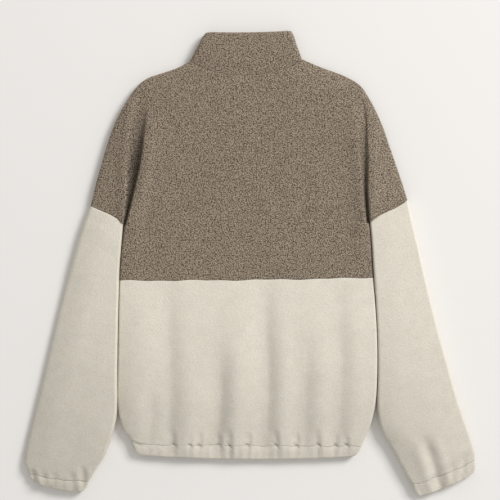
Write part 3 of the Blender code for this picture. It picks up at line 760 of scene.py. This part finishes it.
# Lower back: cream fleece from the seam between the colours to the hem casing. The elastic in the casing
# draws it in, so soft folds stand up from the hem and die away upwards.
CREAM_PILE = 0.36
CREAM = fleece("cream_fleece", tip=(0.76, 0.716, 0.628), root=(0.65, 0.606, 0.514), spread=1.8, relief=0.05)
SEAM_ROLL = 0.26
LOWER_BODY = (
    (-221, -29, -28, 209, -24, 20.0, 0, 0.12, 0.05),
    (-222, -62, -62, 212, -61, 22.3, 0, 0.18, 0.07),
    (-223, -113, -113, 215, -112, 24.3, 0, 0.28, 0.10),
    (-224, -173, -173, 216, -171, 25.2, 0, 0.40, 0.13),
    (-225, -224, -224, 214, -224, 24.4, 0, 0.52, 0.18),
    (-222, -256, -257, 209, -256, 22.4, 0, 0.56, 0.22),
    (-215, -280, -281, 202, -280, 20.4, 0, 0.56, 0.24),
    (-207, -295, -297, 195, -296, 18.8, 0, 0.52, 0.24),
    (-201, -307, -309, 188, -310, 17.6, 0, 0.46, 0.22),
)


def pinched(points):
    """How far the cloth is drawn in at the hem seam, from 0 to 1: a slanting bell curve about each notch,
    and a longer one along the seam at its tucked left end."""
    down = points[..., 1] + 309
    away = [(points[..., 0] - notch + 0.8 * down) / 2.8 for notch in HEM_NOTCHES]
    tuck = np.exp(-((points[..., 0] + 190) / 10) ** 2 - (down / 2.4) ** 2)
    return np.clip(sum(np.exp(-x ** 2) for x in away) * np.exp(-(down / 3.8) ** 2) + tuck, 0, 1)


def drawn_in(height, share):
    """Height of the back where the stitches draw the cloth in: lowered by 1.8 mm times the share, and by less
    below 14.4 mm, down to nothing at 10.4 mm, so that it stays clear of the front."""
    return height - 1.8 * share * np.clip((height - 10.4) / 4, 0, 1)


def falloff_shade_and_flat_pile(points):
    """Painted shade for the light's falloff on the cream cloth, from 0 to 1, which also lowers its pile a
    little.
    Two smooth steps are added, one down the garment and one out along the left sleeve, so it is darker there."""
    down = 0.2 * ease((-60 - points[..., 1]) / 270)
    return down + 0.1 * ease((-190 - points[..., 0]) / 120)


def seam_depth(row, depth):
    """Depth along a seam of the roll beside it: the given depth times a share from a fifth to 1 that slow
    waves along the seam set."""
    return depth * np.clip(0.55 + 1.1 * waves(row[:, 0], row[:, 1], 11, 5), 0.2, 1.0)


lower = named(LOWER_BODY, BODY_COLUMNS)[0]
grid = body_grid(spaced(lower, BODY_ENDS, 189), body_at, True, 292)
grid[0, :, 1] -= SEAM_GAP / 2
grid[-1, :, 1] += SEAM_GAP / 2
grid[:, :, 2] = drawn_in(grid[:, :, 2], pinched(grid))
# The fourth value flattens the pile and is painted shade: dark specks at the hem notches and the falloff of
# the light down the garment.
grid[:, :, 3] = 0.36 * pinched(grid) + falloff_shade_and_flat_pile(grid)
lower_back = wall("lower_back", grid, CREAM, CREAM_PILE, rolls=(0.2, seam_depth(grid[-1], SEAM_ROLL)),
                  seed=14)
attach(lower_back, "root")
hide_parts("back_lower")


# Lower front: a panel of the same cream fleece under the lower back, face down and flat on the surface. It is
# sewn to the lower back down both sides, and only its outline can be told from above.
grid = body_grid(spaced(lower, BODY_ENDS, 133), body_at, False, 200)
grid[0, :, 1] -= SEAM_GAP / 2
grid[-1, :, 1] += SEAM_GAP / 2
lower_front = wall("lower_front", grid, CREAM, CREAM_PILE, outward=-1, seed=15)
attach(lower_front, "root")
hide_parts("front_lower")


# Hem casing: a doubled strip of cream fleece sewn all round the lower edge, with elastic in it that gathers
# the strip into small upright pleats.
CASING_CLOTH = 5.0
HEM = (
    (-201, -307, -309, 188, -310, 17.6, 0, 0.46, 0.22),
    (-198, -314, -316, 186, -316, 17.6, 0, 0.46, 0.22),
    (-194, -321, -324, 182, -322, 16.4, 0, 0.42, 0.2),
    (-186, -325, -332, 177, -327, 14.8, 0, 0.38, 0.2),
)


def gathers(place, pitch, seed):
    """Small pleats of a gathered strip: a cosine along it whose phase is pushed about by slow waves, so that
    the pleats are uneven in width."""
    return np.cos(2 * np.pi * place / pitch + 2.2 * waves(place, place * 0, 50, seed))


rows = spaced(named(HEM, BODY_COLUMNS)[0], BODY_ENDS, 21)
back = across_body(rows, body_at, ("left_x", "right_x"), crowded(700))
front = across_body(rows, body_at, ("left_x", "right_x"), crowded(200))
down = np.linspace(0, 1, len(rows))[:, None]
x = back[:, :, 0]
# Shallow pleats, deepest a little left of the middle, with broader ones among them.
pleats = (0.15 + 0.35 * np.exp(-((x + 45) / 35) ** 2)) * gathers(x, 13.6, 21) + 0.15 * gathers(x, 21.0, 22)
place = run(back)
climb = (rows[:, body_at["height"]][:, None] - SEAM_HEIGHT) * crowned(rows, body_at, place)
back_height = SEAM_HEIGHT + climb * both_ends(place, SIDE_RADIUS)
back_height += np.clip(down * 4, 0, 1) * pleats * both_ends(place, 22.0)
# The folds of the back run on into the casing and are nearly gone at its edge.
kept = 1 - 0.85 * down
back_height -= kept * soft_folds(back)
back_height += kept * uneven(back)
front_height = SEAM_HEIGHT * (1 - both_ends(run(front), EDGE_RADIUS))
grid = tube_rings(back, back_height, front, front_height, 320, 120)
grid[0, :, 1] -= SEAM_GAP / 2
notches = pinched(grid) * (grid[:, :, 2] > SEAM_HEIGHT)
grid[:, :, 2] = drawn_in(grid[:, :, 2], notches)
# The fourth value flattens the pile and is painted shade: dark specks at the hem notches and the falloff of
# the light down the garment.
grid = np.dstack([grid, 0.3 * notches + falloff_shade_and_flat_pile(grid)])
hem_casing = wall("hem_casing", grid, CREAM, CREAM_PILE, cloth=CASING_CLOTH, ring=True,
                  rolls=(seam_depth(grid[0], SEAM_ROLL), 1.4), seed=16)
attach(hem_casing, "root")
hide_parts("hem_band")


# Sleeves: long cream tubes sewn to the drop shoulders, turned down to lie on the surface beside the body
# and narrowed only by the elastic at the cuffs.
SLEEVE_COLUMNS = ("outer_x", "outer_y", "inner_x", "inner_y", "bow", "height", "crown")
SLEEVE_ENDS = ([0, 1], [2, 3])
SLEEVE_LEFT = (
    (-270, 97, -214, 67, 0.0, 22.0, 0.45),
    (-284, 60, -217.5, 29, 1.0, 24.0, 0.58),
    (-297, 16, -220.5, -8, 1.0, 25.0, 0.66),
    (-313, -45, -222.0, -62, 0.0, 26.5, 0.82),
    (-330, -113, -223.4, -127, 0.0, 27.0, 0.88),
    (-346, -181, -224.4, -190, 0.0, 27.5, 0.90),
    (-362, -246, -225.2, -251, 0.0, 27.5, 0.92),
    (-373, -290, -233, -290, 1.0, 27.0, 0.92),
    (-380, -322, -246, -326, 2.0, 25.5, 0.84),
    (-381, -341, -260, -348, 3.0, 23.0, 0.66),
    (-373, -356, -272, -368, 4.0, 19.0, 0.45),
)
SLEEVE_RIGHT = (
    (267, 107, 202.5, 70, 0.0, 22.0, 0.08),
    (275, 70, 205.8, 35, 1.0, 24.0, 0.10),
    (286, 23, 208.2, -5, 1.0, 25.0, 0.10),
    (301, -42, 212.4, -62, 0.0, 26.0, 0.12),
    (318, -110, 215.6, -127, 0.0, 26.0, 0.16),
    (336, -176, 216.2, -188, 0.0, 26.0, 0.22),
    (353, -236, 215.6, -239, 0.0, 26.0, 0.34),
    (367, -277, 222, -280, 0.0, 26.0, 0.48),
    (376, -304, 240, -311, 0.0, 25.0, 0.56),
    (381, -321, 258, -345, 1.0, 23.0, 0.50),
    (381, -333, 275, -375, 3.0, 19.0, 0.36),
)
# A crease's two ends in X and Y, its depth and its half width.
CREASES_LEFT = (
    (-371, -346, -366, -368, 3.4, 5.0),
    (-351, -352, -347, -368, 0.9, 5.0),
    (-329, -352, -334, -370, 1.2, 5.5),
    (-303, -350, -300, -374, 1.0, 4.5),
    (-284, -338, -280, -372, 2.2, 5.0),
)
CREASES_RIGHT = (
    (291, -284, 322, -376, 4.4, 9.0),
    (376, -316, 332, -352, 2.4, 7.0),
    (345, -338, 342, -362, 0.9, 4.5),
    (364, -328, 361, -352, 0.8, 4.0),
)


def bowed(left, right, bow, share):
    """Straight rows of points from left to right, with a parabola of height bow added on their right-hand
    side, which is towards the cuff."""
    chord = (right - left)[:, None]
    beside = np.stack([chord[..., 1], -chord[..., 0]], axis=2) / np.linalg.norm(chord, axis=2)[..., None]
    return straight(left, right, share) + beside * (bow[:, None] * (1 - (2 * share - 1) ** 2))[..., None]


def creases(plan, table):
    """Drop of the cloth in short creases. Along each it grows in over its first two fifths and stays, and
    across it is a bell curve with a lower bell of rise on both sides."""
    drop = np.zeros(plan.shape[:2])
    for from_x, from_y, to_x, to_y, depth, half_width in table:
        way = np.array([to_x - from_x, to_y - from_y])
        length = np.linalg.norm(way)
        way = way / length
        off = plan - np.array([from_x, from_y])
        share = off @ way / length
        away = (off[..., 0] * way[1] - off[..., 1] * way[0]) / half_width
        drop += depth * ease(share / 0.4) * (np.exp(-away ** 2) - 0.35 * np.exp(-(np.abs(away) - 2.0) ** 2))
    return drop


def long_crown(place, on_right):
    """Share of the crown's height along a row. On the right sleeve it is the product of quarter sines over
    45 mm from the body and 70 mm from the outer edge. On the left one it is 0.62 of a quarter sine over 50 mm
    from the outer edge and 0.38 of the share of the way to the body."""
    length = place[:, -1:]
    if on_right:
        return arch(place, 45.0) * arch(length - place, 70.0)
    return 0.62 * arch(place, 50.0) + 0.38 * place / length


def sleeve_grid(rows, at, on_right, table, back_cells, front_cells, gather=0.0, pitch=1.0):
    """Rings of a sleeve or cuff between its outer and inner ends, from the inner one on the right sleeve. The
    back half rises over the rounded edges and a long crown, less the creases, plus the gathers of a cuff and
    a little unevenness, and the front half lies on the surface."""
    outer_end, inner_end = rows[:, 0:2], rows[:, 2:4]
    left, right = (inner_end, outer_end) if on_right else (outer_end, inner_end)
    back = bowed(left, right, rows[:, at["bow"]], crowded(300))
    front = bowed(left, right, rows[:, at["bow"]], crowded(120))
    place = run(back)
    climb = rows[:, at["height"]][:, None] - SEAM_HEIGHT
    crown = rows[:, at["crown"]][:, None]
    edges = both_ends(place, SIDE_RADIUS if on_right else EDGE_RADIUS, SIDE_RADIUS)
    height = SEAM_HEIGHT + climb * edges * (1 - crown + crown * long_crown(place, on_right))
    inside = both_ends(place, 18.0)
    height += 0.9 * waves(back[:, :, 0], back[:, :, 1], 45, 9) * inside
    height += gather * gathers(place, pitch, 23) * inside - creases(back, table) * inside
    front_height = SEAM_HEIGHT * (1 - both_ends(run(front), EDGE_RADIUS))
    return tube_rings(back, height, front, front_height, back_cells, front_cells)


def shift_end(grid, row, station, on_right, amount):
    """Moves an end ring along the sleeve, square to the line between its two end points, by an amount, so
    that the pieces beside a seam stay apart."""
    chord = (station[2:4] - station[0:2]) * (-1 if on_right else 1)
    chord = chord / np.linalg.norm(chord)
    grid[row, :, 0] += chord[1] * amount
    grid[row, :, 1] -= chord[0] * amount


def cuff_roll(ring, on_right):
    """Depth of the roll along a cuff seam: 0.9 mm times the shares of seam_depth. On the right the seam's
    inner part is nearly smooth, and the roll grows in from a twentieth over the 12 mm from X 308 to X 320."""
    depth = seam_depth(ring, 0.9)
    return depth * np.clip((ring[:, 0] - 308) / 12, 0.05, 1.0) if on_right else depth


for side, table, marks, on_right in (("left", SLEEVE_LEFT, CREASES_LEFT, False),
                                 ("right", SLEEVE_RIGHT, CREASES_RIGHT, True)):
    stations, sleeve_at = named(table, SLEEVE_COLUMNS)
    rows = spaced(stations, SLEEVE_ENDS, 301)
    grid = sleeve_grid(rows, sleeve_at, on_right, marks, 84, 44)
    shift_end(grid, 0, stations[0], on_right, SEAM_GAP / 2)
    shift_end(grid, -1, stations[-1], on_right, -SEAM_GAP / 2)
    # The fourth value flattens the pile a little and is painted shade for the falloff of the light.
    sleeve = wall(side + "_sleeve", np.dstack([grid, falloff_shade_and_flat_pile(grid)]), CREAM, CREAM_PILE, ring=True,
                  rolls=(0.2, cuff_roll(grid[-1], on_right)), seed=17 + on_right)
    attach(sleeve, "root")
    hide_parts("sleeve_" + side)


# Cuffs: doubled strips of cream fleece, sewn round the ends of the sleeves as a casing with elastic in it.
# The elastic draws them narrower than the sleeves and gathers them a little.
CUFF_LEFT = (
    (-373, -356, -272, -368, 4.0, 19.0, 0.45),
    (-372, -363, -276, -377, 4.0, 18.4, 0.45),
    (-368, -370, -283, -387, 5.0, 15.4, 0.45),
)
CUFF_RIGHT = (
    (381, -333, 275, -375, 3.0, 19.0, 0.36),
    (382, -344, 279, -385, 3.0, 18.4, 0.34),
    (380, -355, 286, -395, 4.0, 15.6, 0.3),
)
for side, table, marks, on_right, shown_area in (("left", CUFF_LEFT, CREASES_LEFT, False, 0.0045),
                                             ("right", CUFF_RIGHT, CREASES_RIGHT, True, 0.0061)):
    stations, cuff_at = named(table, SLEEVE_COLUMNS)
    rows = spaced(stations, SLEEVE_ENDS, 17)
    grid = sleeve_grid(rows, cuff_at, on_right, marks, 96, 40, gather=0.12, pitch=12.0)
    shift_end(grid, 0, stations[0], on_right, SEAM_GAP / 2)
    # The fourth value flattens the pile a little and is painted shade for the falloff of the light.
    grid = np.dstack([grid, falloff_shade_and_flat_pile(grid)])
    cuff = wall(side + "_cuff", grid, CREAM, CREAM_PILE, cloth=CASING_CLOTH, ring=True,
                rolls=(cuff_roll(grid[0], on_right), 1.6), seed=19 + on_right)
    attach(cuff, "root")
    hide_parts("cuff_" + side)


# Surface, light and camera: the garment lies on a pale plain surface, lit softly from the upper right, and
# the camera looks straight down on it.
def matt(name, colour):
    """Plain matt finish of one colour."""
    material = bpy.data.materials.new(name)
    material.use_nodes = True
    shader = material.node_tree.nodes["Principled BSDF"]
    shader.inputs["Base Color"].default_value = (*colour, 1.0)
    shader.inputs["Roughness"].default_value = 0.9
    shader.inputs["Specular IOR Level"].default_value = 0.2
    return material


FLOOR_HALF = 6.0
FLOOR_TOP = -0.0005
floor_mesh = bpy.data.meshes.new("surface")
floor_corners = [(x * FLOOR_HALF, y * FLOOR_HALF, FLOOR_TOP) for x, y in ((-1, -1), (1, -1), (1, 1), (-1, 1))]
floor_mesh.from_pydata(floor_corners, [], [(0, 1, 2, 3)])
floor_mesh.materials.append(matt("pale_surface", (0.82, 0.80, 0.775)))
surface = bpy.data.objects.new("surface", floor_mesh)
bpy.context.scene.collection.objects.link(surface)

lamp = bpy.data.lights.new("window", "AREA")
lamp.energy = 386.0
lamp.shape = "RECTANGLE"
lamp.size = 2.6
lamp.size_y = 2.6
window = bpy.data.objects.new("window", lamp)
window.location = (4.4, 3.5, 4.2)
window.rotation_euler = (Vector((0, 0, 0)) - window.location).to_track_quat("-Z", "Y").to_euler()
bpy.context.scene.collection.objects.link(window)

world = bpy.data.worlds.new("studio")
world.use_nodes = True
world.node_tree.nodes["Background"].inputs["Color"].default_value = (1.0, 0.995, 0.985, 1.0)
world.node_tree.nodes["Background"].inputs["Strength"].default_value = 0.57
bpy.context.scene.world = world
bpy.context.scene.view_settings.view_transform = "Standard"

camera_data = bpy.data.cameras.new("camera")
camera_data.lens = 127.0
camera_data.sensor_width = 36.0
camera_data.clip_end = 20.0
camera = bpy.data.objects.new("camera", camera_data)
camera.location = (-0.0003, 0.0229, 3.0)
bpy.context.scene.collection.objects.link(camera)
bpy.context.scene.camera = camera
